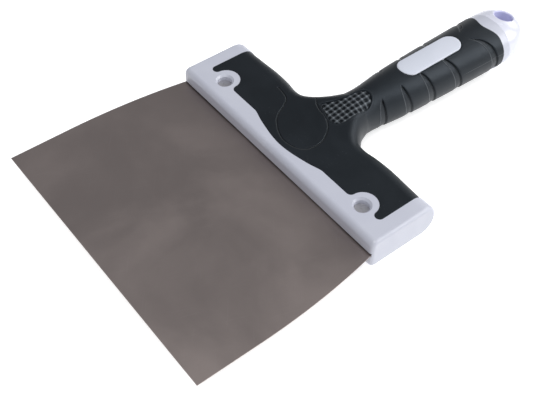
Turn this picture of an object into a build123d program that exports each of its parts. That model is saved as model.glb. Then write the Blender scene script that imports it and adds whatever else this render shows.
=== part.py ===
from build123d import *
from math import cos, radians, sin
import os

# Flexible putty knife: a spring steel blade moulded into a rigid crossbar and handle core, with a soft
# overmoulded grip, a bare name plate, two rivets and an end cap that is drilled for hanging.
# Millimetres. +X runs along the crossbar, +Y from the blade's edge to the handle's end, +Z up.
# The origin is under the middle of the whole tool, level with the underside of the grip.

# ---- driving dimensions ----
blade_width = 200.0        # across the working edge
blade_root_width = 185.0   # where the sheet enters the crossbar
blade_reach = 126.0        # from the crossbar's mouth to the working edge
blade_flare = 85.0         # the sides curve in over this length, next to the crossbar
blade_thickness = 0.5

bar_width = 187.0
bar_depth = 51.0
bar_height = 22.4
bar_front_radius = 4.0
bar_rear_radius = 10.5
bar_end_radius = 2.5
mouth_groove_height = 3.0
mouth_groove_depth = 3.0

handle_half_height = 17.2
oval_fullness = 0.58       # 0.55 would be a true ellipse
handle_end = 185.0         # where the soft grip stops
seam_y = 194.5             # where the end cap starts
dome_start_y = 199.5       # where the end cap begins to round off
dome_depth = 23.5
grip_thickness = 3.0
wing_thickness = 3.0

rivet_x = 67.4
rivet_y = 14.6
rivet_head_radius = 4.6
rivet_head_height = 1.5
rivet_head_depth = 4.0     # the head's face below the crossbar's face
rivet_shank_radius = 2.5
rivet_window_radius = 4.8
rivet_window_chamfer = 1.3

tang_depth = 21.0
tang_width = 170.0
plug_radius = 4.0
plug_pitch = 22.0
plug_y = 12.0

hang_hole_radius = 6.5
hang_hole_y = 207.0

plate_radius = 8.25
plate_first_y = 113.0      # centres of the plate's two round ends
plate_last_y = 153.0
plate_floor = 14.4         # height of the plate's underside over the blade's plane
plate_gap = 0.15

# ---- the frame ----
tool_length = blade_reach + dome_start_y + dome_depth
mouth_y = blade_reach - tool_length / 2
blade_z = handle_half_height
bar_half_height = bar_height / 2
fit_gap = 0.1

plan = Plane(origin=(0, mouth_y, blade_z))
bar_end_plane = Plane(origin=(-bar_width / 2, mouth_y, blade_z), x_dir=(0, 1, 0), z_dir=(1, 0, 0))


def across(y):
    """A plane across the tool, y in front of the crossbar's mouth towards the handle."""
    return Plane(origin=(0, mouth_y + y, blade_z), x_dir=(1, 0, 0), z_dir=(0, -1, 0))


def oval(y, half_width, half_height):
    """An oval face across the tool, as four curves, a little fuller than an ellipse."""
    across_bulge = oval_fullness * half_width
    upright_bulge = oval_fullness * half_height
    with BuildSketch(across(y)) as section:
        with BuildLine():
            Bezier((half_width, 0), (half_width, upright_bulge), (across_bulge, half_height), (0, half_height))
            mirror(about=Plane.YZ)
            mirror(about=Plane.XZ)
        make_face()
    return section.sketch


# Half width and half height of the handle at each distance from the mouth.
handle_stations = [
    (40.0, 34.0, 9.0),
    (55.0, 22.5, 13.6),
    (70.0, 14.6, 15.8),
    (85.0, 14.6, 16.8),
    (100.0, 16.4, handle_half_height),
    (115.0, 17.4, handle_half_height),
    (130.0, 18.4, handle_half_height),
    (145.0, 19.0, handle_half_height),
    (160.0, 19.7, handle_half_height),
    (175.0, 20.3, 17.0),
    (handle_end, 20.6, 16.8),
]
collar_half_width = 20.6
collar_half_height = 16.8


def handle_body(inset):
    """The neck and handle as one smooth loft, made smaller all round by inset."""
    loft([oval(y, half_width - inset, half_height - inset) for y, half_width, half_height in handle_stations])


def bar_body(inset):
    """The crossbar: a D-shaped section, blunt in front and round behind, run along X."""
    with BuildSketch(bar_end_plane) as section:
        with Locations((inset, 0)):
            Rectangle(bar_depth - 2 * inset, bar_height - 2 * inset, align=(Align.MIN, Align.CENTER))
        fillet(section.vertices().group_by(Axis.X)[0], bar_front_radius - inset)
        fillet(section.vertices().group_by(Axis.X)[-1], bar_rear_radius - inset)
    extrude(section.sketch, amount=bar_width)


# ---- blade: one flat sheet, flared towards its straight edge, with a perforated tang ----
half_edge = blade_width / 2
half_root = blade_root_width / 2
with BuildPart() as blade:
    with BuildSketch(plan):
        with BuildLine():
            Line((0, 0), (half_root, 0))
            TangentArc((half_edge, -blade_flare), (half_root, 0), tangent=(0, 1))
            Line((half_edge, -blade_flare), (half_edge, -blade_reach))
            Line((half_edge, -blade_reach), (0, -blade_reach))
            mirror(about=Plane.YZ)
        make_face()
        with Locations((0, tang_depth / 2)):
            Rectangle(tang_width, tang_depth)
        with Locations(*[(plug_pitch * step, plug_y) for step in range(-2, 3)]):
            Circle(plug_radius, mode=Mode.SUBTRACT)
        with Locations((-rivet_x, rivet_y), (rivet_x, rivet_y)):
            Circle(rivet_shank_radius + fit_gap, mode=Mode.SUBTRACT)
    extrude(amount=blade_thickness / 2, both=True)

# ---- the soft wings: the black part of the crossbar, wrapped over its back ----
wing_x = 82.4
wing_tip_y = 17.3
wing_tip_radius = 2.9
ear_top_y = 25.2
valley_x = 55.0
valley_y = 13.6
shoulder_x = 33.0
bulge_y = 7.2
front_curve = [(24.0, 11.0), (16.0, 9.2), (9.0, 7.9)]
shoulder_slope = (-1.0, -0.1)
ear_inner_x = 2 * rivet_x - (wing_x - 2 * wing_tip_radius)
with BuildPart() as wings:
    bar_body(0)
    with BuildSketch(plan):
        with BuildLine():
            Line((0, bar_depth + bar_height), (wing_x, bar_depth + bar_height))
            Line((wing_x, bar_depth + bar_height), (wing_x, wing_tip_y))
            ThreePointArc(
                (wing_x, wing_tip_y),
                (wing_x - wing_tip_radius, wing_tip_y - wing_tip_radius),
                (wing_x - 2 * wing_tip_radius, wing_tip_y),
            )
            ThreePointArc((wing_x - 2 * wing_tip_radius, wing_tip_y), (rivet_x, ear_top_y), (ear_inner_x, wing_tip_y))
            TangentArc((valley_x, valley_y), (ear_inner_x, wing_tip_y), tangent=(1, 0))
            Line((valley_x, valley_y), (shoulder_x, valley_y))
            Spline((shoulder_x, valley_y), *front_curve, (0, bulge_y), tangents=[shoulder_slope, (-1, 0)])
            mirror(about=Plane.YZ)
        make_face()
    extrude(amount=bar_height, both=True, mode=Mode.INTERSECT)

with BuildPart() as bar_inside:
    bar_body(wing_thickness)

wings_skin = wings.part - bar_inside.part

with BuildPart() as spine:
    handle_body(grip_thickness)

# ---- core: the rigid moulding of crossbar, spine and collar ----
hollow_start_y = 125.0
hollow_half_width = 13.0
hollow_half_height = 11.4
spigot_y = 178.0           # how far the end cap's spigot reaches into the core
spigot_gap = 0.1
window_floor = bar_half_height - rivet_head_depth - rivet_head_height
with BuildPart() as core:
    bar_body(0)
    fillet(core.faces().filter_by(Axis.X).edges(), bar_end_radius)
    add(wings_skin, mode=Mode.SUBTRACT)
    add(spine.part)
    extrude(oval(handle_end, collar_half_width, collar_half_height), amount=handle_end - seam_y)
    # The hollow spine, open at the collar.
    hollow = oval(seam_y, hollow_half_width, hollow_half_height)
    extrude(hollow, amount=seam_y - hollow_start_y, mode=Mode.SUBTRACT)
    # The groove that the blade comes out of, and the blade's own place.
    with BuildSketch(plan):
        Rectangle(blade_root_width + 2 * fit_gap, mouth_groove_depth, align=(Align.CENTER, Align.MIN))
    extrude(amount=mouth_groove_height / 2, both=True, mode=Mode.SUBTRACT)
    add(blade.part, mode=Mode.SUBTRACT)
    # The rivets' holes, with a window in each face over each head.
    with Locations((-rivet_x, mouth_y + rivet_y, blade_z), (rivet_x, mouth_y + rivet_y, blade_z)):
        Cylinder(rivet_shank_radius, bar_height, mode=Mode.SUBTRACT)
    for side in (1, -1):
        with BuildSketch(plan.offset(side * window_floor)):
            with Locations((-rivet_x, rivet_y), (rivet_x, rivet_y)):
                Circle(rivet_window_radius)
        extrude(amount=side * (bar_half_height - window_floor), mode=Mode.SUBTRACT)
    rims = core.edges().filter_by(GeomType.CIRCLE)
    rims = rims.filter_by(lambda edge: abs(edge.radius - rivet_window_radius) < fit_gap)
    rims = rims.filter_by(lambda edge: abs(abs(edge.center().Z - blade_z) - bar_half_height) < fit_gap)
    chamfer(rims, rivet_window_chamfer)

# ---- rivets: a shank through the crossbar and the blade, with a flat head at the bottom of each window ----
rivet_names = {-1: "rivet_left", 1: "rivet_right"}
rivets = {}
for side, rivet_name in rivet_names.items():
    with BuildPart() as rivet:
        with Locations((side * rivet_x, mouth_y + rivet_y, blade_z)):
            Cylinder(rivet_shank_radius, 2 * window_floor)
        for face in (1, -1):
            with BuildSketch(plan.offset(face * window_floor)):
                with Locations((side * rivet_x, rivet_y)):
                    Circle(rivet_head_radius)
            extrude(amount=face * rivet_head_height)
    rivets[rivet_name] = rivet.part

# ---- end cap: a domed plug with a spigot, drilled through for hanging ----
dome_steps = 7
dome_last_angle = 78.0
with BuildPart() as end_cap:
    extrude(oval(seam_y, collar_half_width, collar_half_height), amount=seam_y - dome_start_y)
    rings = []
    for step in range(dome_steps + 1):
        angle = radians(dome_last_angle * step / dome_steps)
        ring_y = dome_start_y + dome_depth * sin(angle) / sin(radians(dome_last_angle))
        rings.append(oval(ring_y, collar_half_width * cos(angle), collar_half_height * cos(angle)))
    loft(rings)
    spigot = oval(seam_y, hollow_half_width - spigot_gap, hollow_half_height - spigot_gap)
    extrude(spigot, amount=seam_y - spigot_y)
    with Locations((0, mouth_y + hang_hole_y, blade_z)):
        Cylinder(hang_hole_radius, 3 * collar_half_height, mode=Mode.SUBTRACT)

# ---- name plate: a bare rounded plate let into the top of the grip ----
plate_middle_y = (plate_first_y + plate_last_y) / 2
plate_length = plate_last_y - plate_first_y + 2 * plate_radius
with BuildPart() as name_plate:
    handle_body(0)
    with BuildSketch(plan.offset(plate_floor)):
        with Locations((0, plate_middle_y)):
            SlotOverall(plate_length, 2 * plate_radius, rotation=90)
    extrude(amount=handle_half_height, mode=Mode.INTERSECT)

# ---- grip: the soft overmoulding ----
with BuildPart() as grip:
    handle_body(0)
    add(wings_skin)
    add(spine.part, mode=Mode.SUBTRACT)
    add(core.part, mode=Mode.SUBTRACT)
    with BuildSketch(plan.offset(plate_floor)):
        with Locations((0, plate_middle_y)):
            SlotOverall(plate_length + 2 * plate_gap, 2 * (plate_radius + plate_gap), rotation=90)
    extrude(amount=handle_half_height, mode=Mode.SUBTRACT)

# ---- one file for each piece ----
pieces = {"blade": blade.part, "core": core.part, "grip": grip.part, "end_cap": end_cap.part}
pieces["name_plate"] = name_plate.part
pieces.update(rivets)
os.makedirs("parts", exist_ok=True)
for name, piece in pieces.items():
    piece.label = name
    export_step(piece, f"parts/{name}.step")
    print(name, piece.volume, piece.is_valid, len(piece.solids()), piece.bounding_box())
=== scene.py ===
# %% [markdown]
# # A flexible putty knife
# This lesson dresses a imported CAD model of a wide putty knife: a spring steel blade, a crossbar with a
# handle moulded in one piece, a soft black grip over both, an end cap to hang it by, a bare name plate
# and two rivets. The CAD model gives every size and place. Here each part that shows gets its real
# surface and its finish. The frame is loaded first, because everything else is placed from it.

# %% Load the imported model
import math

import bmesh
import bpy
import numpy as np
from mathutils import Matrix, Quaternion, Vector


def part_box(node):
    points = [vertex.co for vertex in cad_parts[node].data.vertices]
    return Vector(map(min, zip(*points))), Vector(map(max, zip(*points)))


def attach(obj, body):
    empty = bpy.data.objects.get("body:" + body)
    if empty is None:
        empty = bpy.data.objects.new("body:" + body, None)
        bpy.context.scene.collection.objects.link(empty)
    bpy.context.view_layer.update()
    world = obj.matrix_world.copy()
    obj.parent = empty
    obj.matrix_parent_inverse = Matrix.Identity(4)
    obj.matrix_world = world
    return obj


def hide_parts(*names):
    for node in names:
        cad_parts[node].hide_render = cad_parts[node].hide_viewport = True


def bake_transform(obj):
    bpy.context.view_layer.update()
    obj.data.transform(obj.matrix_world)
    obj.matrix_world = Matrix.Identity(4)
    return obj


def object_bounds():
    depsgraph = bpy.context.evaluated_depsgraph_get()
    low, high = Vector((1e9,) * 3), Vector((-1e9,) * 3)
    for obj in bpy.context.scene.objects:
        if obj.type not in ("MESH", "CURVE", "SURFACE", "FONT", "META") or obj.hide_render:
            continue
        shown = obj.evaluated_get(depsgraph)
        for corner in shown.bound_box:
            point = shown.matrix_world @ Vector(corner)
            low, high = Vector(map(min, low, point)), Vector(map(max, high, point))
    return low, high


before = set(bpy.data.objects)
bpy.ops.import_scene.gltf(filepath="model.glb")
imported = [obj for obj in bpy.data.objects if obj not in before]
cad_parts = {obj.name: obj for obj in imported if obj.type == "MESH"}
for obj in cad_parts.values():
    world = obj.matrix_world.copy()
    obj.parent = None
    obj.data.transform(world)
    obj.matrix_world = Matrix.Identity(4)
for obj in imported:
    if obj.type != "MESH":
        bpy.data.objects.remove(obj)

cad_low, cad_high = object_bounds()
print("CAD box in mm:", [round(1000 * side, 1) for side in cad_high - cad_low])

# %% [markdown]
# ## The knife's own frame
# A maker measures this tool from the crossbar's mouth, where the blade comes out, and from the blade's
# mid-plane. Writing every shape in millimetres from that point keeps the numbers readable, and one
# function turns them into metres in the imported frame. The mouth is the front of the core's box, and the
# mid-plane is halfway up the blade's box, so both follow the CAD model.

# %% From millimetres at the mouth to metres in the frame
MM = 0.001
core_low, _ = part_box("core")
blade_low, blade_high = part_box("blade")
mouth = np.array([0.0, core_low.y, (blade_low.z + blade_high.z) / 2])


def placed(x, y, z):
    """Points in metres: x along the crossbar, y behind the mouth and z above the blade, times a thousandth,
    plus the mouth's own place."""
    x, y, z = np.broadcast_arrays(x, y, z)
    return np.stack([x, y, z], axis=-1) * MM + mouth


handle_length = (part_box("end_cap")[1].y - mouth[1]) / MM
print("mouth at", mouth.round(4), "and", round(handle_length, 1), "mm from there to the end of the cap")

# %% [markdown]
# ## Small tools for curves
# Moulded parts have soft changes: a section swells, then narrows, and an edge fades out. A few helpers do
# nearly all of it: a gentle step, a rounded edge, a smooth curve through a few given values, and evenly
# spaced points on a drawn line. They all take whole arrays, so no loop over points is needed.

# %% A gentle step, and a smooth curve through set values
def smooth(t):
    """0 below 0 and 1 above 1, and t squared times (3 - 2t) between, so it starts and stops gently."""
    t = np.clip(t, 0, 1)
    return t * t * (3 - 2 * t)


def rounded(t):
    """A rounded edge's drop, 1 at 0 and nothing from 1 on: 1 less the height of a quarter circle, which is
    the root of 1 less (1 - t) squared."""
    return 1 - np.sqrt(1 - (1 - np.clip(t, 0, 1)) ** 2)


def through(x, stations, values):
    """A curve through the values at the stations: a cubic between each two, whose slope at a station is a
    mean of the slopes on both sides."""
    stations, values = np.asarray(stations, float), np.asarray(values, float)
    slopes = np.gradient(values, stations)
    i = np.clip(np.searchsorted(stations, x) - 1, 0, len(stations) - 2)
    width = stations[i + 1] - stations[i]
    t = np.clip((x - stations[i]) / width, 0, 1)
    heights = (1 + 2 * t) * (1 - t) ** 2 * values[i] + t * t * (3 - 2 * t) * values[i + 1]
    turns = t * (1 - t) ** 2 * slopes[i] + t * t * (t - 1) * slopes[i + 1]
    return heights + width * turns


print("half a gentle step:", float(smooth(0.5)))


# %% Even spacing along a line, and arcs
def spaced(line, count):
    """A line's points moved to count even steps of its own length."""
    length = np.concatenate([[0], np.cumsum(np.hypot(*np.diff(line, axis=0).T))])
    even = np.linspace(0, length[-1], count)
    return np.stack([np.interp(even, length, line[:, 0]), np.interp(even, length, line[:, 1])], axis=-1)


def drawn(corners, count):
    """A smooth line through a few corners, evenly spaced: each coordinate is a curve of the corner's
    number."""
    corners = np.asarray(corners, float)
    number = np.arange(len(corners))
    fine = np.linspace(0, number[-1], 40 * len(corners))
    return spaced(np.stack([through(fine, number, corners[:, k]) for k in (0, 1)], axis=-1), count)


def arc(centre, radius, start, end, count=40):
    """Points on a circle, from one angle to another in degrees."""
    angle = np.radians(np.linspace(start, end, count))
    return np.stack([centre[0] + radius * np.cos(angle), centre[1] + radius * np.sin(angle)], axis=-1)


print("a quarter circle in 3 points:", arc((0, 0), 1, 0, 90, 3).round(2).tolist())


# %% Distance from a drawn line
def gap_to(line, x, y):
    """The distance from each (x, y) to a drawn line, which is the least distance to its straight bits."""
    start, step = line[:-1], np.diff(line, axis=0)
    least = np.full(np.shape(x), np.inf)
    for (sx, sy), (dx, dy) in zip(start, step):
        share = np.clip(((x - sx) * dx + (y - sy) * dy) / (dx * dx + dy * dy), 0, 1)
        least = np.minimum(least, np.hypot(x - sx - share * dx, y - sy - share * dy))
    return least


def outside(line, x, y):
    """The distance to a closed line, minus inside it. A point is inside if a ray from it along x crosses the
    line an odd number of times."""
    odd = np.zeros(np.shape(x), bool)
    for (ax, ay), (bx, by) in zip(line, np.roll(line, -1, axis=0)):
        if ay != by:
            odd ^= ((ay > y) != (by > y)) & (x < ax + (y - ay) * (bx - ax) / (by - ay))
    return np.where(odd, -1, 1) * gap_to(np.vstack([line, line[:1]]), x, y)


circle = arc((0, 0), 12, 0, 351)
print("5 mm from the centre of a 12 mm circle:", round(float(outside(circle, np.array(5.0), 0.0)), 2))

# %% [markdown]
# ## From grids to a mesh
# Every new piece is a few grids of points that share their borders. The maker of the mesh joins the
# grids, merges the shared points, turns all faces outwards and keeps crisp edges crisp. Patterns that are
# finer than the mesh travel as attributes: a distance changes evenly across a face, so the material can
# draw a thin line from it exactly.

# %% One mesh from several grids
merge_distance, shortest_edge = 0.002 * MM, 0.0005 * MM


def grid_faces(rows, columns, first):
    """The four corners of every cell of a grid whose points are numbered row by row."""
    corner = first + np.arange(rows - 1)[:, None] * columns + np.arange(columns - 1)
    return np.stack([corner, corner + 1, corner + columns + 1, corner + columns], axis=-1).reshape(-1, 4)


def new_piece(name, grids, sharp_degrees=40.0, **values):
    """A closed mesh from grids of points in metres, with one attribute for each named list of arrays."""
    points, faces = np.empty((0, 3)), np.empty((0, 4), int)
    for grid in grids:
        faces = np.vstack([faces, grid_faces(grid.shape[0], grid.shape[1], len(points))])
        points = np.vstack([points, grid.reshape(-1, 3)])
    mesh = bpy.data.meshes.new(name)
    mesh.from_pydata(points.tolist(), [], faces.tolist())
    for key, arrays in values.items():
        attribute = mesh.attributes.new(key, "FLOAT", "POINT")
        attribute.data.foreach_set("value", np.concatenate([a.ravel() for a in arrays]).astype(np.float32))
    tidy = bmesh.new()
    tidy.from_mesh(mesh)
    bmesh.ops.remove_doubles(tidy, verts=tidy.verts, dist=merge_distance)
    bmesh.ops.dissolve_degenerate(tidy, edges=tidy.edges, dist=shortest_edge)
    bmesh.ops.recalc_face_normals(tidy, faces=tidy.faces)
    if tidy.calc_volume(signed=True) < 0:
        bmesh.ops.reverse_faces(tidy, faces=tidy.faces)
    open_edges = sum(edge.is_boundary for edge in tidy.edges)
    tidy.to_mesh(mesh)
    tidy.free()
    mesh.shade_smooth()
    mesh.set_sharp_from_angle(angle=math.radians(sharp_degrees))
    piece = bpy.data.objects.new(name, mesh)
    bpy.context.scene.collection.objects.link(piece)
    print(name, "has", len(mesh.polygons), "faces and", open_edges, "open edges")
    return piece


print("a grid of 3 by 4 points has", len(grid_faces(3, 4, 0)), "cells")

# %% [markdown]
# ## The blade
# The blade is a sheet of spring steel half a millimetre thick. Its sides run straight from the working
# edge for about a third of the way and then curve in to the crossbar, where a narrower tang goes on inside
# the plastic. A grid works better than a flat outline here, because the sheet has to bend: its rows run
# across the blade, so each row can turn a little more than the one before.

# %% The blade's outline and sheet
blade_reach, blade_flare, blade_thickness = 126.0, 85.0, 0.5
half_edge, half_root, half_tang, tang_depth = 100.0, 92.5, 85.0, 21.0
shoulder_y, shoulder_step = 2.6, 0.01
blade_rows, blade_columns = 120, 81


def blade_half_width(y):
    """Half the sheet's width: the edge's, less a circle's sagitta from where the sides start to curve in, and
    the tang's behind the shoulder."""
    run = half_edge - half_root
    radius = (blade_flare ** 2 + run ** 2) / (2 * run)
    along = np.clip(y + blade_flare, 0, blade_flare)
    sheet = half_edge - (radius - np.sqrt(radius ** 2 - along ** 2))
    return np.where(y > shoulder_y, half_tang, sheet)


def blade_sheet():
    """Two flat grids half a thickness above and below the mid-plane, with a narrow band round them."""
    y = np.linspace(-blade_reach, shoulder_y, blade_rows)
    y = np.concatenate([y, [shoulder_y + shoulder_step, tang_depth]])[:, None]
    x = np.linspace(-1, 1, blade_columns)[None, :] * blade_half_width(y)
    top = placed(x, y, blade_thickness / 2)
    bottom = placed(x, y, -blade_thickness / 2)
    sides = [np.stack([top[:, k], bottom[:, k]]) for k in (0, -1)]
    ends = [np.stack([top[k], bottom[k]]) for k in (0, -1)]
    return [top, bottom, *sides, *ends]


blade = new_piece("blade_sheet", blade_sheet(), sharp_degrees=30.0)

# %% [markdown]
# ## The grip: sizes
# The soft black skin covers the back of the crossbar and the whole handle. Seen from above it has a front
# outline, a shoulder where the flat top turns over, and a rim, which is its widest line, at the height of
# the blade. Three curves and a height therefore describe all of it, and the sheet between them is filled
# in by formula. That is nearer to how such a grip is drawn than pushing a block about, and it keeps every
# part of the surface fair.

# %% Front outline of the soft wings
bar_half_height, grip_rise, edge_roll = 11.2, 0.25, 0.45
wing_x, tip_y, tip_radius = 82.4, 17.3, 2.9
ear_centre, ear_radius = (67.4, 15.89), 9.31
valley_x, valley_y, valley_radius = 55.0, 13.6, 3.234
bulge_x_at, bulge_y_at = [-9, 0, 9, 16, 24, 33, 42], [7.9, 7.2, 7.9, 9.2, 11, 13.6, 13.6]
bulge_end_x = 33
valley_end, ear_start, ear_end = 8.2, 171.3, 8.7  # degrees, where the arcs cross
lap = 0.12  # the skin laps over the rigid part's edge by this much


def wing_outline(count):
    """The soft wing's front outline from the middle to its end: a bulge, a straight, a hollow, an arc round
    the rivet window and a round tip. It is moved outwards by the lap and spaced evenly."""
    bulge_x = np.linspace(0, bulge_end_x, 60)
    bulge = np.stack([bulge_x, through(bulge_x, bulge_x_at, bulge_y_at)], -1)
    hollow = arc((valley_x, valley_y + valley_radius), valley_radius, -90, valley_end)
    ear = arc(ear_centre, ear_radius, ear_start, ear_end)
    tip = arc((wing_x - tip_radius, tip_y), tip_radius, 180, 360)
    line = spaced(np.vstack([bulge, hollow, ear[1:], tip[1:]]), count)
    step = np.gradient(line, axis=0)
    outward = np.stack([step[:, 1], -step[:, 0]], -1) / np.hypot(step[:, 0], step[:, 1])[:, None]
    line = line + lap * outward
    line[:, 0] = np.maximum.accumulate(np.maximum(line[:, 0], 0))
    line[0, 0] = 0
    return line


outline = wing_outline(150)
print("the wing's outline reaches x", outline[-1, 0].round(2), "and is", len(outline), "points long")

# %% Shoulder and rim of the wings, and the handle's section
side_x = [0, 9, 18, 26, 34, 43, 55, 68, 83]
shoulder_y_at = [68, 55.8, 45.8, 40.8, 39.6, 40.2, 40.6, 40.2, 39.6]
rim_x_at = [15.1, 18.6, 24.2, 28.6, 34.5, 43, 55, 68, 83]
rim_y_at = [68, 60.2, 53.4, 50, 49.5, 50.9, 51.6, 51, 50.2]
neck_y = 68.0
handle_y = [55, 68, 76, 85, 97, 110, 128, 147, 168, 190]
handle_half_width = [23, 15.1, 13.9, 14.5, 16.2, 17.4, 18.4, 19.3, 20.1, 20.8]
crest_y = [0, 20, 32, 40, 50, 60, 70, 85, 100, 130, 168, 190]
flat_top = bar_half_height + grip_rise
crest_z = [flat_top, flat_top, 11.8, 12.3, 13.4, 14.8, 15.8, 16.75, 17.1, 17.2, 17.15, 16.95]
fullness = 2.1  # 2 would be an ellipse
bell_width, oval_from_y, oval_change = 30, 60, 30


def top_height(x, y):
    """The top's height: the crest's, falling off to the flat top as a bell to each side. The bell widens
    without end round the neck, so that behind it the whole section is one oval."""
    crest = through(y, crest_y, crest_z)
    bell = np.exp(-((x / bell_width) ** 2))
    return flat_top + (crest - flat_top) * (bell + (1 - bell) * smooth((y - oval_from_y) / oval_change))


def quarter(turn):
    """A quarter of the oval: how far in from the rim, and how far up, for a turn from 0 at the rim to 1."""
    angle = turn * math.pi / 2
    return 1 - np.cos(angle) ** (2 / fullness), np.sin(angle) ** (2 / fullness)


print("the crest over the neck is", float(top_height(0.0, neck_y).round(2)), "mm up")

# %% [markdown]
# ## The grip: what is moulded into it
# Five crescents are pressed into each side of the handle for the fingers. Each starts as a point near the
# top, runs down and back, and is shallow in front and steep behind. They follow one formula with five
# sets of values. A round outline is scribed on the crossbar in front of the thumb, and a leaf-shaped
# pocket holds a patch of small points. The bed of the name plate is sunk too, so the plate can sit in it.

# %% Finger crescents
# Each row: the tip's angle and distance from the mouth, how much the line bends back near its tip, how much
# it slants, in mm for each degree, and how wide it is.
crescents = [(55, 83.2, -1.2, 0.05, 5.5), (61, 100.2, 0.0, 0.085, 5.6), (66, 117.6, 2.5, 0.08, 5.6),
             (72, 137.4, 5.5, 0.085, 5.8), (76, 166.4, 12.5, 0.06, 5.9)]
crescent_depth, back_wall, front_step, step_share, ramp_power = 0.9, 0.55, 0.6, 0.18, 1.7
tip_fade, bend_within, widen_within, low_end, low_fade = 9, 20, 22, -62, 22  # degrees round the handle
line_reach = 4.0  # a drawn line's distance is cut off at this many mm


def crescent_lines(tip_angle, tip_y, bend, slant, width, angle):
    """Front and back edges of one crescent at each angle round the handle. The back edge bends as one minus
    an exponential and then slants, and the width grows to its full value the same way."""
    below = np.clip(tip_angle - angle, 0, None)
    back = tip_y + bend * (1 - np.exp(-below / bend_within)) + slant * below
    return back - width * (1 - np.exp(-below / widen_within)), back


def crescent_relief(angle, y):
    """How deep the crescents cut in at each point, its distances past the nearest back and front edges, and
    where those edges are, from 0 to 1. A cut is a small step at the front edge and a ramp, a power of the way
    to the back edge, and it ends in a steep wall."""
    depth = np.zeros(np.shape(y))
    lines = {key: (np.full(np.shape(y), line_reach), np.zeros(np.shape(y))) for key in ("back", "front")}
    for tip_angle, *values in crescents:
        front, back = crescent_lines(tip_angle, *values, angle)
        here = smooth((tip_angle - angle) / tip_fade) * smooth((angle - low_end) / low_fade)
        ramp = np.clip((y - front) / np.maximum(back - front, 0.3), 0, 1) ** ramp_power
        step = smooth((y - front) / front_step)
        wall = 1 - smooth((y - back) / back_wall)
        depth += here * wall * (step_share * step + (1 - step_share) * ramp) * crescent_depth
        for key, edge in (("back", back), ("front", front)):
            past, shown = lines[key]
            nearer = np.abs(y - edge) < np.abs(past)
            here_only = here * (1 - smooth((np.abs(y - edge) - 1) / 1.5))
            lines[key] = np.where(nearer, y - edge, past), np.where(nearer, here_only, shown)
    return depth, *lines["back"], *lines["front"]


print(len(crescents), "crescents on each side, from", crescents[0][1], "to", crescents[-1][1], "mm")


# %% The scribed outline, the leaf and the name plate's bed
scribed = drawn([(-39.4, 38), (-33, 37), (-28.5, 35), (-25, 30), (-22, 24), (-19, 20), (-15.8, 17.2),
                 (-9.7, 13.6), (-2.7, 11.3), (3.9, 11.6), (8.8, 13.2), (12.6, 16.4), (14.3, 20.5),
                 (14.6, 26.7), (12.8, 32.2), (8.7, 38.4), (4, 42), (-1, 44.3), (-6.1, 44.8), (-12, 46.8),
                 (-16, 49.5)], 90)
scribed_field = np.vstack([scribed, [(-60, 80), (-60, 38)]])  # closed round the back, out of the way
leaf = drawn([(-11.1, 48.5), (-4, 46.2), (2.7, 44.3), (7.6, 45.0), (10.4, 48.5), (10.9, 54), (10.6, 60),
              (10.4, 66.7), (9.7, 72.2), (7.0, 76.5), (3, 78.4), (-1.4, 77.2), (-3.9, 72), (-5.0, 65),
              (-7.0, 57.5), (-10.3, 51.2), (-11.1, 48.5)], 100)[:-1]
plate_radius, plate_first_y, plate_last_y = 7.8, 115.3, 153.0


def past_plate(x, y):
    """Distance outside the name plate's outline, minus inside: the distance to its middle line, less its
    radius."""
    return np.hypot(x, y - np.clip(y, plate_first_y, plate_last_y)) - plate_radius


print("leaf", np.ptp(leaf[:, 0]).round(1), "by", np.ptp(leaf[:, 1]).round(1), "mm")

# %% [markdown]
# ## The grip: its sheet
# Columns of points run from the front outline over the top to the rim on the wings, and from the crest to
# the keel on the handle. The left half is the same with x turned round, but the scribed outline and the
# leaf aren't symmetrical, so the relief is worked out after that, from the real x. The underside repeats
# the top without them.

# %% Columns over the wings
plateau_rows, flank_rows, neck_steps = 84, 24, 225


def wing_grid(side, upper):
    """One of the four quarters of the wings. A column keeps its x from the front outline to the shoulder, and
    goes from there straight to its place on the rim, while its height follows the quarter oval."""
    x, front = outline[:, 0], outline[:, 1]
    back = through(x, side_x, shoulder_y_at)
    rim_x, rim_y = through(x, side_x, rim_x_at), through(x, side_x, rim_y_at)
    roll = np.array([0, 0.06, 0.2, edge_roll])[None, :]
    rest = np.linspace(0, 1, plateau_rows - roll.size + 1)[None, 1:]
    y_flat = front[:, None] + np.hstack([np.repeat(roll, len(x), axis=0),
                                         edge_roll + (back - front - edge_roll)[:, None] * rest])
    turned_in, turned_up = quarter(np.linspace(1, 0, flank_rows + 1)[None, 1:])
    flank_x = rim_x[:, None] + (x - rim_x)[:, None] * turned_in
    flank_y = rim_y[:, None] + (back - rim_y)[:, None] * turned_in
    across = np.hstack([np.repeat(x[:, None], plateau_rows, axis=1), flank_x])
    along = np.hstack([y_flat, flank_y])
    rise = np.hstack([np.ones_like(y_flat), np.repeat(turned_up, len(x), axis=0)])
    from_front = np.hstack([y_flat - front[:, None], np.full_like(flank_y, edge_roll)])
    edge_drop = grip_rise * rounded(np.minimum(from_front, x[-1] - across) / edge_roll)
    height = (top_height(across, along) - edge_drop) * rise
    far, nowhere = np.full_like(height, line_reach), np.zeros_like(height)
    return side * across, along, upper * height, *[far, nowhere] * 3


print("a quarter of the wings has", len(outline), "columns of", plateau_rows + flank_rows, "points")


# %% Columns round the handle
crest_end_y, end_wave, wave_within = 185.1, 4.0, 45  # the skin's end lies farther back at the sides
end_half_width, end_half_height = 20.4, 17.0
end_roll, end_roll_depth = 0.8, 0.35
parting_z, parting_start_y, parting_fade = 4.0, 148, 8  # the mould's parting line shows at the back


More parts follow.
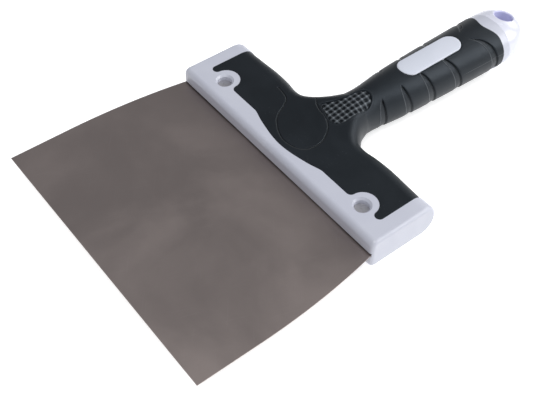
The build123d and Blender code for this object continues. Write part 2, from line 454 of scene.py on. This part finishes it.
def handle_grid(side):
    """Half of the handle, from crest to keel. Each ring is an oval of the set half width and height, with the
    crescents cut in towards the middle line. The end is a gentle wave, farthest forward on the crest and the
    keel, and its edge is rounded."""
    turn = np.concatenate([np.linspace(1, 0, flank_rows + 1), np.linspace(0, 1, flank_rows + 1)[1:]])[None, :]
    upper = np.concatenate([np.ones(flank_rows + 1), -np.ones(flank_rows)])[None, :]
    turned_in, turned_up = quarter(turn)
    share = np.linspace(0, 1, neck_steps)[:, None]
    round_to = np.degrees(np.arctan2(end_half_height * turned_up, end_half_width * (1 - turned_in)))
    end = crest_end_y + end_wave * smooth((90 - round_to) / wave_within)
    y = neck_y + (end - neck_y) * share
    half_width = through(y, handle_y, handle_half_width)
    x = half_width * (1 - turned_in)
    z = top_height(x, y) * turned_up * upper
    angle = np.degrees(np.arctan2(z, np.maximum(x, 1e-6)))
    cut, *edges = crescent_relief(angle, y)
    inward = (cut + end_roll_depth * rounded((end - y) / end_roll)) / np.hypot(x, z)
    past_parting = np.clip(z - parting_z, -line_reach, line_reach)
    parting_here = smooth((y - parting_start_y) / parting_fade) * np.ones_like(z)
    return side * x * (1 - inward), y, z * (1 - inward), *edges, past_parting, parting_here


print("the skin ends", crest_end_y, "mm back on the crest and", crest_end_y + end_wave, "at the sides")


# %% Relief on the top, and the closing walls
leaf_bed, leaf_bed_margin, plate_bed, plate_bed_margin, bed_slope = 2.0, 0.9, 1.6, -0.5, 1.2


def sunk(x, y, z):
    """The top lowered where something is let in: softly under the leaf's patch and under the name plate."""
    under_leaf = leaf_bed * smooth((leaf_bed_margin - outside(leaf, x, y)) / bed_slope)
    under_plate = plate_bed * smooth((plate_bed_margin - past_plate(x, y)) / bed_slope)
    return z - (z > 0) * (under_leaf + under_plate)


def closing_walls(quarters):
    """The hidden faces: down from the front outline to the mid-plane, down the wing's end, and across the
    handle's end to its middle."""
    walls = []
    for x, y, z, *rest in quarters[:2]:
        for edge in ((slice(None), 0), -1):
            walls.append(np.stack([np.stack([x[edge], y[edge], z[edge] * level], -1) for level in (1, 0)]))
    x, y, z = [values[-1] for values in quarters[2][:3]]
    middle_y = y.mean()
    walls.append(np.stack([np.stack([x * size, y * size + middle_y * (1 - size), z * size], -1)
                           for size in (1, 0.9, 0)]))
    return walls


print("the leaf's bed is", leaf_bed, "mm deep and the plate's", plate_bed)


# %% The grip's mesh
def grip_piece():
    """All quarters, both sides, with the distances that its material draws fine lines from."""
    names = ["scribe", "scribe_here", "past_plate", "back", "back_here", "front", "front_here", "parting",
             "parting_here"]
    grids, values = [], {name: [] for name in names}
    for side in (1, -1):
        quarters = [wing_grid(side, 1), wing_grid(side, -1), handle_grid(side)]
        for x, y, z, *edges in quarters:
            on_top = z > 0.01
            grids.append(placed(x, y, sunk(x, y, z)))
            past_scribed, past_bed = [np.where(on_top, np.clip(distance, -line_reach, line_reach), line_reach)
                                      for distance in (outside(scribed_field, x, y), past_plate(x, y))]
            near_scribed = on_top * (1 - smooth((gap_to(scribed, x, y) - 1.0) / 1.5))
            for name, line in zip(names, [past_scribed, near_scribed, past_bed, *edges]):
                values[name].append(line)
        for wall in closing_walls(quarters):
            grids.append(placed(wall[..., 0], wall[..., 1], wall[..., 2]))
            for name in names:
                values[name].append(np.full(wall.shape[:2], 0.0 if name.endswith("here") else line_reach))
    return new_piece("grip_skin", grids, sharp_degrees=60.0, **values)


grip = grip_piece()

# %% [markdown]
# ## The thumb patch
# The leaf-shaped patch in front of the neck is a field of small blunt points, like a file cut two ways,
# that stops a thumb from sliding. Its points are only a few millimetres apart, far finer than the grip's
# own grid, so the patch is a piece of its own with cells of a quarter of a millimetre. It carries the
# pocket's rounded lip too, and its margin slips under the grip's skin, so no joint shows.

# %% The grip's top before anything is let into it
halvings, widest = 24, 60.0


def top_surface(x, y):
    """Height of the plain top at any (x, y). Behind the neck it is the oval. In front of the shoulder it is
    the top itself. Between, halving the range again and again finds the column that passes through the
    point, and its share of the way from the rim to the shoulder gives the quarter oval's height."""
    aside = np.abs(x)
    low, high = np.zeros_like(aside), np.full_like(aside, widest)
    for _ in range(halvings):
        column = (low + high) / 2
        top_y = through(column, side_x, shoulder_y_at)
        rim_x, rim_y = through(column, side_x, rim_x_at), through(column, side_x, rim_y_at)
        too_far = (rim_x - column) * (y - top_y) > (rim_y - top_y) * (aside - column)
        low, high = np.where(too_far, low, column), np.where(too_far, column, high)
    to_rim = np.hypot(aside - rim_x, y - rim_y) / np.hypot(column - rim_x, top_y - rim_y)
    in_front = np.where(y > through(aside, side_x, shoulder_y_at), to_rim, 1)
    behind = 1 - aside / through(y, handle_y, handle_half_width)
    share = np.clip(np.where(y > neck_y, behind, in_front), 0, 1)
    return top_height(x, y) * (1 - (1 - share) ** fullness) ** (1 / fullness)


print("height beside the neck:", float(top_surface(np.array(8.0), np.array(62.0)).round(2)), "mm")

# %% Height of the patch
pitch_across, pitch_along = 3.4, 3.95
pocket_depth, lip_radius, point_base, pit_depth, tip_height = 1.3, 0.8, 0.7, 1.2, 0.4
margin_width, margin_rise, margin_dip, blend_width = 2.0, 0.04, 0.5, 0.6


def patch_height(x, y):
    """The plain top, lowered inside the leaf over a rounded lip, with masks of its pits and tips. Rows of
    ridges cross at right angles. Each row's wave is a squared cosine, a pit is a step in the product of both
    waves' troughs, and a tip is mostly the product of their crests, cubed. The margin outside dips under the
    skin."""
    past_leaf = outside(leaf, x, y)
    in_pocket = smooth((0.3 - past_leaf) / lip_radius)
    lengthwise, crosswise = np.cos(math.pi * x / pitch_across) ** 2, np.cos(math.pi * y / pitch_along) ** 2
    inside = smooth((-0.2 - past_leaf) / blend_width)
    pit = inside * smooth(((1 - lengthwise) * (1 - crosswise) - 0.16) / 0.4)
    tip = inside * (0.75 * (lengthwise * crosswise) ** 3 + 0.25 * np.maximum(lengthwise, crosswise) ** 3)
    margin = margin_rise - margin_dip * smooth((past_leaf - 1.3) / blend_width)
    pocket = in_pocket * (pocket_depth - point_base * inside)
    return top_surface(x, y) + margin - pocket - pit_depth * pit + tip_height * tip, pit, tip


print("points", pitch_across, "by", pitch_along, "mm apart, in a pocket", pocket_depth, "mm deep")

# %% The patch's rings and mesh
leaf_middle, leaf_steps, leaf_rings, margin_rings = np.array([2.5, 58.0]), 421, 90, 8
patch_side, patch_floor = 2.0, 4.0  # how far the side wall and the floor's middle go down


def patch_grids():
    """Rings from the leaf's middle to its outline and on over a narrow margin, and a floor below that closes
    the piece."""
    line = spaced(np.vstack([leaf, leaf[:1]]), leaf_steps)
    step = np.gradient(line[:-1], axis=0)
    out = np.stack([step[:, 1], -step[:, 0]], -1) / np.hypot(step[:, 0], step[:, 1])[:, None]
    out = np.vstack([out, out[:1]])
    inner = [leaf_middle + (line - leaf_middle) * size for size in np.linspace(0, 1, leaf_rings)]
    outer = [line + out * margin_width * share for share in np.linspace(0, 1, margin_rings + 1)[1:]]
    x, y = np.moveaxis(np.stack(inner + outer), -1, 0)
    z, pit, tip = patch_height(x, y)
    floor_x, floor_y = [np.stack([edge, edge, np.full_like(edge, middle)])
                        for edge, middle in zip((x[-1], y[-1]), leaf_middle)]
    floor_z = np.stack([z[-1], z[-1] - patch_side, np.full_like(z[-1], z[0, 0] - patch_floor)])
    # These masks tell the material where to paint shade in the pits and a highlight on the tips.
    masks = {"pit": [pit, 0 * floor_z], "tip": [tip, 0 * floor_z]}
    return [placed(x, y, z), placed(floor_x, floor_y, floor_z)], masks


patch_sheets, patch_masks = patch_grids()
patch = new_piece("thumb_patch", patch_sheets, sharp_degrees=70.0, **patch_masks)

# %% [markdown]
# ## The name plate
# A bare plate with round ends is let into the top of the handle. It is flatter than the handle, so it
# stands a little prouder at its sides, and its edge is rounded. Rings that shrink from the outline onto its
# middle line follow that shape without any stretched cells at the ends.

# %% The plate's rings
plate_rise, plate_edge, plate_flatness = 0.35, 0.7, 0.5
plate_wall, plate_floor = 2.4, 3.0
end_steps, straight_steps, plate_rings = 49, 60, 24


def plate_grids():
    """Rings from the middle line to the outline, each lowered by half of the handle's own curve and by a
    quarter circle at the edge, and then a wall down into the grip and a floor."""
    half_turn = np.radians(np.linspace(0, 180, end_steps))
    straight = np.linspace(plate_first_y, plate_last_y, straight_steps)
    y_out = np.concatenate([plate_last_y + plate_radius * np.sin(half_turn), straight[::-1],
                            plate_first_y - plate_radius * np.sin(half_turn), straight])
    x_half = np.concatenate([plate_radius * np.cos(half_turn), np.full(straight_steps, -plate_radius)])
    x_out = np.concatenate([x_half, -x_half])
    x_out, y_out = np.append(x_out, x_out[0]), np.append(y_out, y_out[0])
    foot = np.clip(y_out, plate_first_y, plate_last_y)
    size = np.sin(np.linspace(0, math.pi / 2, plate_rings))[:, None]
    x, y = x_out * size, foot + (y_out - foot) * size
    crest = through(y, crest_y, crest_z)
    height = crest + plate_rise - plate_flatness * (crest - top_surface(x, y))
    height = height - plate_edge * rounded((1 - size) * plate_radius / plate_edge)
    wall_z = np.stack([height[-1], height[-1] - plate_wall, height[0] - plate_floor])
    wall = placed(np.stack([x[-1], x[-1], 0 * x[-1]]), np.stack([y[-1], y[-1], foot]), wall_z)
    return [placed(x, y, height), wall]


plate = new_piece("bare_name_plate", plate_grids(), sharp_degrees=50.0)

# %% [markdown]
# ## The end cap
# The cap is a smooth dome that plugs the handle, with a hole right through it for a hook. It could be a
# dome with the hole cut out by a Boolean, but that leaves ragged cells round the rim, where the light
# shows them most. Here the grid starts on the hole's rim and spreads out to the dome's outline, so the
# rounded rim is part of the surface.

# %% The cap's surface
seam_y, dome_start_y, dome_depth = 194.5, 199.5, 23.5
cap_half_width, cap_half_height = 20.6, 16.8
hole_y, hole_radius, rim_radius, seam_roll = 207.0, 6.5, 1.6, 0.6
seam_steps, side_steps, dome_steps, rim_rings, dome_rings = 40, 7, 60, 8, 51


def cap_height(x, y):
    """An oval section that keeps its size up to the dome and shrinks from there as a quarter ellipse."""
    size = np.sqrt(1 - np.clip((y - dome_start_y) / dome_depth, 0, 1) ** 2)
    left = np.clip(size ** fullness - (np.abs(x) / cap_half_width) ** fullness, 0, None)
    return cap_half_height * left ** (1 / fullness)


def cap_outline():
    """Half of the cap's outline seen from above, turned round for the other half: the seam, the straight side
    and the quarter ellipse."""
    seam_x, side_x_at = np.linspace(0, cap_half_width, seam_steps), np.full(side_steps, cap_half_width)
    side_y = np.linspace(seam_y, dome_start_y, side_steps + 2)[1:-1]
    turn = np.linspace(0, math.pi / 2, dome_steps)
    x = np.concatenate([seam_x, side_x_at, cap_half_width * np.cos(turn)])
    y = np.concatenate([np.full(seam_steps, seam_y), side_y, dome_start_y + dome_depth * np.sin(turn)])
    half = np.stack([x, y], axis=-1)
    return np.vstack([half, (half * [-1, 1])[-2::-1]])


def cap_grids():
    """For the top and then the bottom: the quarter-round rim and the dome out to the outline, the hole's
    wall, and the wall under the outline, which is flat at the seam. With them comes a mask of the bore,
    where the material paints shade."""
    line = cap_outline()
    angle = np.arctan2(line[:, 1] - hole_y, line[:, 0])
    on_hole = np.stack([hole_radius * np.cos(angle), hole_y + hole_radius * np.sin(angle)], -1)
    rim = rim_radius * (1 - np.cos(np.linspace(0, math.pi / 2, rim_rings)))
    length = np.hypot(*(line - on_hole).T)
    far = np.sin(np.linspace(0, math.pi / 2, dome_rings + 1))[1:, None]
    out = np.vstack([np.repeat(rim[:, None], len(line), axis=1), rim_radius + (length - rim_radius) * far])
    x, y = np.moveaxis(on_hole + (line - on_hole) * (out / length)[..., None], -1, 0)
    seam_drop = seam_roll * rounded((y - seam_y) / seam_roll)
    height = (cap_height(x, y) - rim_radius * rounded(out / rim_radius)) * (1 - seam_drop / cap_half_height)
    grids, bore = [], []
    for upper in (1, -1):
        grids.append(placed(x, y, upper * height))
        bore.append(1 - smooth(out / rim_radius))
        for ring, in_bore in ((0, 1.0), (-1, 0.0)):
            level = upper * np.stack([height[ring], 0 * height[ring]])
            grids.append(placed(np.stack([x[ring]] * 2), np.stack([y[ring]] * 2), level))
            bore.append(np.full(level.shape, in_bore))
    return grids, bore


cap_sheets, cap_bore = cap_grids()
cap = new_piece("hanging_cap", cap_sheets, sharp_degrees=50.0, bore=cap_bore)

# %% [markdown]
# ## Node helpers
# Each finish is made of nodes. A maker of node trees mostly adds a node with its settings, joins sockets,
# works out a value, mixes two colours and carries a value from one range to another, so a short helper for
# each keeps the recipes readable.

# %% Adding and joining nodes
def add(tree, kind, **settings):
    """A new node with its settings. A setting whose name is a socket's goes on that socket."""
    node = tree.nodes.new("ShaderNode" + kind)
    for key, value in settings.items():
        if key in node.inputs:
            node.inputs[key].default_value = value
        else:
            setattr(node, key, value)
    return node


def join(tree, source, target):
    """A link from one node's output to another's input, each written as (node, socket)."""
    tree.links.new(source[0].outputs[source[1]], target[0].inputs[target[1]])


def feed(tree, source, socket, *nodes):
    """Links from one output to the same input of several nodes."""
    for node in nodes:
        join(tree, source, (node, socket))


def math_node(tree, operation, first, second=None):
    """A Math node. Each value is a number or a (node, socket) output."""
    node = add(tree, "Math", operation=operation)
    for k, value in enumerate([first, second]):
        if isinstance(value, tuple):
            join(tree, value, (node, k))
        elif value is not None:
            node.inputs[k].default_value = value
    return node, 0


def tint(tree, mask, first, second):
    """A colour mixed from two by a mask. Each colour is four numbers or a (node, socket) output. On a Mix
    node for colours the mask is input 0, the colours are inputs 6 and 7, and the result is output 2."""
    node = add(tree, "Mix", data_type="RGBA")
    join(tree, mask, (node, 0))
    for k, value in ((6, first), (7, second)):
        if isinstance(value, tuple) and len(value) == 2:
            join(tree, value, (node, k))
        else:
            node.inputs[k].default_value = value
    return node, 2


def carried(tree, source, seen=(0.0, 1.0), wanted=(0.0, 1.0), curve="LINEAR"):
    """A value carried from the range seen to the range wanted, and held at its ends."""
    node = add(tree, "MapRange", interpolation_type=curve)
    for end, (low, high) in (("From", seen), ("To", wanted)):
        node.inputs[end + " Min"].default_value, node.inputs[end + " Max"].default_value = low, high
    join(tree, source, (node, "Value"))
    return node, 0


print("node helpers:", [helper.__name__ for helper in (add, join, feed, math_node, tint, carried)])


# %% An empty node group with named sockets
def new_group(name, inputs, outputs):
    """A shader node group. Inputs are (name, kind, default) and outputs are (name, kind)."""
    group = bpy.data.node_groups.new(name, "ShaderNodeTree")
    for socket_name, kind, default in inputs:
        socket = group.interface.new_socket(name=socket_name, in_out="INPUT", socket_type="NodeSocket" + kind)
        if default is not None:
            socket.default_value = default
    for socket_name, kind in outputs:
        group.interface.new_socket(name=socket_name, in_out="OUTPUT", socket_type="NodeSocket" + kind)
    return group, group.nodes.new("NodeGroupInput"), group.nodes.new("NodeGroupOutput")


def use(tree, group, **settings):
    """A group placed in a tree with its own values."""
    node = tree.nodes.new("ShaderNodeGroup")
    node.node_tree = group
    for key, value in settings.items():
        node.inputs[key.replace("_", " ")].default_value = value
    return node


# %% [markdown]
# ## Shared effects
# Four effects turn up in more than one finish. Moulded plastic and rubber have a fine grain from the
# mould. No surface has one flat tone. Handled things carry a few specks and rubs. Hard faces carry hairline
# scratches. Each is a group that gives out a height or a mask, and each material decides what to do with it.

# %% Moulded grain
grain, inside, result = new_group("moulded_grain", [("Vector", "Vector", None), ("Scale", "Float", 3000.0)],
                                  [("Height", "Float")])
fine = add(grain, "TexNoise", Detail=3.0, Roughness=0.6)
pebbles = add(grain, "TexVoronoi", feature="F1")
for socket in ("Vector", "Scale"):
    feed(grain, (inside, socket), socket, fine, pebbles)
half = math_node(grain, "MULTIPLY", (pebbles, "Distance"), 0.5)
join(grain, math_node(grain, "ADD", (fine, 0), half), (result, "Height"))

# %% Uneven tone
uneven, inside, result = new_group("uneven_tone", [("Vector", "Vector", None), ("Scale", "Float", 25.0)],
                                   [("Mask", "Float")])
broad = add(uneven, "TexNoise", Detail=5.0, Roughness=0.55, Distortion=0.6)
for socket in ("Vector", "Scale"):
    feed(uneven, (inside, socket), socket, broad)
join(uneven, carried(uneven, (broad, 0), seen=(0.32, 0.68), curve="SMOOTHSTEP"), (result, "Mask"))

# %% Specks and rubs
specks, inside, result = new_group(
    "specks_and_rubs", [("Vector", "Vector", None), ("Scale", "Float", 260.0), ("Share", "Float", 0.1)],
    [("Mask", "Float")])
dots = add(specks, "TexVoronoi", feature="F1", Randomness=1.0)
patches = add(specks, "TexNoise", Scale=60.0, Detail=2.0)
feed(specks, (inside, "Vector"), "Vector", dots, patches)
feed(specks, (inside, "Scale"), "Scale", dots)
small = math_node(specks, "LESS_THAN", (dots, "Distance"), (inside, "Share"))
some = carried(specks, (patches, 0), seen=(0.55, 0.7))
join(specks, math_node(specks, "MULTIPLY", small, some), (result, "Mask"))

# %% Hairline scratches
hairlines, inside, result = new_group(
    "hairline_scratches", [("Vector", "Vector", None), ("Angle", "Float", 0.0), ("Scale", "Float", 40.0)],
    [("Mask", "Float")])
turned = add(hairlines, "VectorRotate", rotation_type="Z_AXIS")
join(hairlines, (inside, "Vector"), (turned, "Vector"))
join(hairlines, (inside, "Angle"), (turned, "Angle"))
stretched = add(hairlines, "Mapping", Scale=(30.0, 0.8, 1.0))
join(hairlines, (turned, 0), (stretched, "Vector"))
streaks = add(hairlines, "TexNoise", Detail=2.0)
join(hairlines, (stretched, 0), (streaks, "Vector"))
join(hairlines, (inside, "Scale"), (streaks, "Scale"))
join(hairlines, carried(hairlines, (streaks, 0), seen=(0.66, 0.74)), (result, "Mask"))
print("groups:", [group.name for group in bpy.data.node_groups])


# %% A material's start
def new_material(name, **settings):
    """A material with a Principled BSDF, whose constant values are set on its own sockets, and the object's
    own coordinates."""
    material = bpy.data.materials.new(name)
    material.use_nodes = True
    tree = material.node_tree
    shader = tree.nodes["Principled BSDF"]
    for key, value in settings.items():
        shader.inputs[key.replace("_", " ")].default_value = value
    return material, tree, shader, (add(tree, "TexCoord"), "Object")


def roughness_between(tree, shader, mask, low, high):
    """Roughness that follows a mask from a low value to a high one."""
    join(tree, carried(tree, mask, wanted=(low, high)), (shader, "Roughness"))


def bump(tree, shader, height, depth_mm, strength=1.0):
    """A bump whose full height is depth_mm."""
    node = add(tree, "Bump", Strength=strength, Distance=depth_mm * MM)
    join(tree, height, (node, "Height"))
    join(tree, (node, 0), (shader, "Normal"))


# %% [markdown]
# ## Spring steel
# The blade is dark, bright-rolled spring steel. It has a brownish grey cast, clouds in its tone where oil
# and the rolls have left their marks, and hairline scratches from wiping. The scratches are a little
# lighter and the clouds change how sharply it reflects.

# %% The blade's finish
steel, tree, shader, place = new_material("spring_steel", Metallic=1.0)
clouds, small_clouds = use(tree, uneven, Scale=14.0), use(tree, uneven, Scale=70.0)
wiped, crossed = use(tree, hairlines, Angle=0.35, Scale=45.0), use(tree, hairlines, Angle=-0.9, Scale=38.0)
grit = use(tree, grain, Scale=1500.0)
feed(tree, place, "Vector", clouds, small_clouds, wiped, crossed, grit)
tone = tint(tree, (clouds, 0), (0.364, 0.310, 0.291, 1), (0.388, 0.331, 0.311, 1))
tone = tint(tree, math_node(tree, "MULTIPLY", (small_clouds, 0), 0.3), tone, (0.345, 0.294, 0.277, 1))
lines = math_node(tree, "MULTIPLY", math_node(tree, "MAXIMUM", (wiped, 0), (crossed, 0)), 0.1)
join(tree, tint(tree, lines, tone, (0.50, 0.45, 0.43, 1)), (shader, "Base Color"))
roughness_between(tree, shader, (clouds, 0), 0.34, 0.44)
bump(tree, shader, (grit, 0), 0.004, strength=0.5)
print(steel.name, "has", len(tree.nodes), "nodes")

# %% [markdown]
# ## Pale plastic
# The crossbar and collar are moulded in a pale grey with a violet cast. The face is satin: a soft gloss over
# a very fine mould grain, with a few specks. The cap is nearly white and glossier, and a mask paints shade
# in a deeper violet on the wall of its bore. The name plate has the matt face that printing would need. One
# recipe serves all three, with its own colours and gloss.

# %% The pale mouldings' finishes
def brought_in(tree, colour, masks):
    """A colour over which each mask, an attribute's name, brings in a colour of its own."""
    for mask, mask_colour in masks:
        colour = tint(tree, (add(tree, "Attribute", attribute_name=mask), "Fac"), colour, mask_colour)
    return colour


def pale_plastic(name, light, shade, gloss, grain_scale, grain_depth, coat, masks=()):
    """A two-tone plastic whose tone drifts over the piece, with grain, faint specks and hairlines. Each mask
    is an attribute's name and the colour it brings."""
    material, tree, shader, place = new_material(name, IOR=1.5, Coat_Weight=coat, Coat_Roughness=0.12)
    tone_mask, dust = use(tree, uneven, Scale=22.0), use(tree, specks, Scale=420.0, Share=0.09)
    marks, mould = use(tree, hairlines, Angle=0.7, Scale=60.0), use(tree, grain, Scale=grain_scale)
    feed(tree, place, "Vector", tone_mask, dust, marks, mould)
    colour = brought_in(tree, tint(tree, (tone_mask, 0), light, shade), masks)
    dull = math_node(tree, "MULTIPLY", (dust, 0), 0.35)
    dust_colour = tuple(0.45 * c for c in shade[:3]) + (1,)
    join(tree, tint(tree, dull, colour, dust_colour), (shader, "Base Color"))
    rubbed = math_node(tree, "MAXIMUM", (tone_mask, 0), (marks, 0))
    roughness_between(tree, shader, rubbed, gloss, gloss + 0.1)
    bump(tree, shader, (mould, 0), grain_depth)
    return material


bar_plastic = pale_plastic("pale_bar_plastic", (0.487, 0.500, 0.566, 1), (0.457, 0.470, 0.540, 1),
                           gloss=0.32, grain_scale=2400.0, grain_depth=0.010, coat=0.15)
# The cap's bore mask paints a deeper violet shade on the wall of the hanging hole.
cap_plastic = pale_plastic("near_white_cap", (0.635, 0.645, 0.730, 1), (0.605, 0.615, 0.700, 1),
                           gloss=0.22, grain_scale=1800.0, grain_depth=0.004, coat=0.4,
                           masks=[("bore", (0.56, 0.565, 0.78, 1))])
plate_plastic = pale_plastic("matt_plate", (0.570, 0.595, 0.665, 1), (0.535, 0.56, 0.63, 1),
                             gloss=0.5, grain_scale=3400.0, grain_depth=0.016, coat=0.0)
print("pale finishes:", [plastic.name for plastic in (bar_plastic, cap_plastic, plate_plastic)])

# %% [markdown]
# ## Soft black grip
# The grip is a thermoplastic rubber, matt charcoal with a slight blue cast. Its fine grain scatters the
# light, so it greys where light grazes it. Lint and rubs show as a few lighter specks. A painted highlight
# makes the front edges of the crescents and the tips of the thumb patch a little greyer, and painted shade
# darkens the patch's pits. The scribed outline, the mould's parting line and the line round the plate are
# thinner than the grid's cells, so the material draws them from the distances that the mesh carries: the
# scribed outline, the crescents' back edges and the line round the plate as painted shade, and the parting
# line as a painted highlight.

# %% The rubber's recipe
def soft_rubber(name, drawn_lines, masks=()):
    """Charcoal rubber. Each drawn line is an attribute's name, a width in mm, a depth, and how strongly it
    takes its own colour: a bell of the distance lowers or lifts the surface and tints it. Each mask is an
    attribute's name and the colour it brings."""
    material, tree, shader, place = new_material(
        name, IOR=1.5, Specular_IOR_Level=0.34, Specular_Tint=(0.76, 0.87, 1.0, 1), Sheen_Weight=0.03,
        Sheen_Roughness=0.45)
    tone_mask, rubs = use(tree, uneven, Scale=30.0), use(tree, specks, Scale=520.0, Share=0.16)
    mould, lint = use(tree, grain, Scale=2100.0), use(tree, specks, Scale=190.0, Share=0.05)
    feed(tree, place, "Vector", tone_mask, rubs, mould, lint)
    colour = tint(tree, (tone_mask, 0), (0.0030, 0.0044, 0.0058, 1), (0.0048, 0.0066, 0.0086, 1))
    light_specks = math_node(tree, "MULTIPLY", math_node(tree, "MAXIMUM", (rubs, 0), (lint, 0)), 0.22)
    colour = brought_in(tree, tint(tree, light_specks, colour, (0.11, 0.12, 0.135, 1)), masks)
    height = math_node(tree, "MULTIPLY", (mould, 0), 0.06)
    for key, width, depth, strength, line_colour in drawn_lines:
        distance = add(tree, "Attribute", attribute_name=key)
        squared = math_node(tree, "POWER", math_node(tree, "DIVIDE", (distance, "Fac"), width), 2.0)
        line = math_node(tree, "EXPONENT", math_node(tree, "MULTIPLY", squared, -1.0))
        if key != "past_plate":
            here = add(tree, "Attribute", attribute_name=key + "_here")
            line = math_node(tree, "MULTIPLY", line, (here, "Fac"))
        colour = tint(tree, math_node(tree, "MULTIPLY", line, strength), colour, line_colour)
        height = math_node(tree, "SUBTRACT", height, math_node(tree, "MULTIPLY", line, depth))
    join(tree, colour, (shader, "Base Color"))
    roughness_between(tree, shader, (tone_mask, 0), 0.43, 0.53)
    bump(tree, shader, height, 0.5)
    return material


shadow, painted_highlight_grey, tip_highlight_grey = (0.0015, 0.002, 0.0025, 1), (0.10, 0.11, 0.12, 1), (0.16, 0.175, 0.19, 1)
# Painted shade darkens the scribed line, the line round the plate and the crescents' back edges; a painted
# highlight lightens the crescents' front edges and the parting line.
grip_rubber = soft_rubber("soft_grip_rubber", [
    ("scribe", 0.38, 1.5, 0.7, shadow),
    ("past_plate", 0.4, 0.8, 0.7, shadow),
    ("back", 0.36, 1.2, 1.0, shadow),
    ("front", 0.33, -0.5, 0.6, painted_highlight_grey),
    ("parting", 0.16, -0.4, 0.35, painted_highlight_grey),
])
# The pits' mask paints shade in the patch's pits, and the tips' mask paints a highlight on its points.
patch_rubber = soft_rubber("thumb_patch_rubber", [], masks=[("pit", shadow), ("tip", tip_highlight_grey)])
print("rubber finishes:", grip_rubber.name, "and", patch_rubber.name)

# %% [markdown]
# ## Rivets
# The rivets' heads lie 4 mm down in their windows. They are plain zinc-plated steel, dulled, so they read
# as grey discs at the bottom of a pale well.

# %% The rivets' finish
zinc, tree, shader, place = new_material("dull_zinc", Metallic=1.0)
spangle, turned_marks = use(tree, uneven, Scale=420.0), use(tree, grain, Scale=2600.0)
feed(tree, place, "Vector", spangle, turned_marks)
join(tree, tint(tree, (spangle, 0), (0.62, 0.61, 0.63, 1), (0.50, 0.49, 0.51, 1)), (shader, "Base Color"))
roughness_between(tree, shader, (spangle, 0), 0.38, 0.52)
bump(tree, shader, (turned_marks, 0), 0.015)
print("materials:", [material.name for material in bpy.data.materials])

# %% [markdown]
# ## Who rides on what
# The blade bends in front of the crossbar, from the mouth forward. Here only the two ends of that bend are
# worked out; the sheet itself is not blended between the handle and the blade's own body. Everything else is
# part of the handle. The core and the rivets have the right shape in CAD, so they stay and only get a finish.

# %% Give each piece its finish, hide its CAD part and put all but the blade on the handle
for piece, node, slot, material in (
    (blade, "blade", "blade_steel", steel),
    (grip, "grip", "soft_grip", grip_rubber),
    (patch, None, "soft_grip", patch_rubber),
    (plate, "name_plate", "plate_plastic", plate_plastic),
    (cap, "end_cap", "cap_plastic", cap_plastic),
):
    piece.data.materials.append(material)
    if node:
        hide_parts(node)
    if piece is not blade:
        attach(piece, "handle")

# %% The ends of the blade's bend, its frame baked in, and the CAD parts that stay
joint_reach = 0.15 * blade_reach
bend_start = Vector(placed(0.0, 0.0, 0.0).tolist())
bend_end = Vector(placed(0.0, -2 * joint_reach, 0.0).tolist())
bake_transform(blade)
for name, material in (("core", bar_plastic), ("rivet_left", zinc), ("rivet_right", zinc)):
    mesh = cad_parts[name].data
    if not mesh.materials:
        mesh.materials.append(material)
    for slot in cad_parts[name].material_slots:
        slot.material = material
print("the blade bends over", round(2 * joint_reach, 1), "mm")

# %% [markdown]
# ## Studio
# A tool like this is shot on white, under broad soft lights: one from the right behind the handle, one from
# high above the blade and a weak one from the back. The rubber then shows its shape and the pale plastic
# stays pale. The floor glows a little by itself, which keeps it white and its shadow faint.

# %% Floor and world
floor_mesh = bpy.data.meshes.new("white_floor")
floor_reach, floor_z = 4.0, cad_low.z - 0.2 * MM
corners = [(-1, -1), (1, -1), (1, 1), (-1, 1)]
floor_mesh.from_pydata([(x * floor_reach, y * floor_reach, floor_z) for x, y in corners], [], [(0, 1, 2, 3)])
floor = bpy.data.objects.new("white_floor", floor_mesh)
bpy.context.scene.collection.objects.link(floor)
paper, tree, shader, place = new_material(
    "white_paper", Roughness=0.9, Specular_IOR_Level=0.1, Emission_Color=(1, 1, 1, 1), Emission_Strength=0.55)
fibres = use(tree, uneven, Scale=3.0)
join(tree, place, (fibres, "Vector"))
join(tree, tint(tree, (fibres, 0), (0.80, 0.80, 0.80, 1), (0.79, 0.79, 0.79, 1)), (shader, "Base Color"))
floor_mesh.materials.append(paper)
world = bpy.data.worlds.new("studio")
bpy.context.scene.world = world
world.use_nodes = True
background = world.node_tree.nodes["Background"]
background.inputs["Color"].default_value = (0.93, 0.95, 1.0, 1)
background.inputs["Strength"].default_value = 0.34
bpy.context.scene.view_settings.view_transform = "Standard"
print("the floor lies", round(floor_z / MM, 2), "mm from the frame's zero")


# %% Soft lights
def soft_light(name, place, aim, size, power):
    """A square area light at a place, turned to face a point, in metres and watts."""
    light = bpy.data.lights.new(name, "AREA")
    light.size, light.energy = size, power
    lamp = bpy.data.objects.new(name, light)
    lamp.location = place
    lamp.rotation_mode = "QUATERNION"
    lamp.rotation_quaternion = (Vector(aim) - Vector(place)).to_track_quat("-Z", "Y")
    bpy.context.scene.collection.objects.link(lamp)


knife_middle = (cad_low + cad_high) / 2
soft_light("handle_side", (0.9, 0.95, 0.85), knife_middle, 0.9, 14.5)
soft_light("overhead", (0.30, -0.62, 1.65), knife_middle, 1.0, 17.0)
soft_light("back_strip", (-0.1, 1.6, 0.8), knife_middle, 0.8, 7.0)

# %% [markdown]
# ## Camera
# The camera looks down over the blade's corner from the right, with a little roll, so the working edge runs
# to the lower left and the handle to the upper right.

# %% The camera
camera_data = bpy.data.cameras.new("camera")
camera_data.lens, camera_data.sensor_width = 61.85, 36.0
camera_data.clip_start, camera_data.clip_end = 0.01, 20.0
camera = bpy.data.objects.new("camera", camera_data)
camera.location = placed(304.74, -245.45, 420.19).tolist()
aim = Vector(placed(24.01, -19.93, 0.0).tolist())
roll = math.radians(1.0)
camera.rotation_mode = "QUATERNION"
looking = (aim - camera.location).to_track_quat("-Z", "Y")
camera.rotation_quaternion = looking @ Quaternion((0, 0, 1), roll)
bpy.context.scene.collection.objects.link(camera)
bpy.context.scene.camera = camera
print("camera", [round(1000 * c) for c in camera.location], "mm")
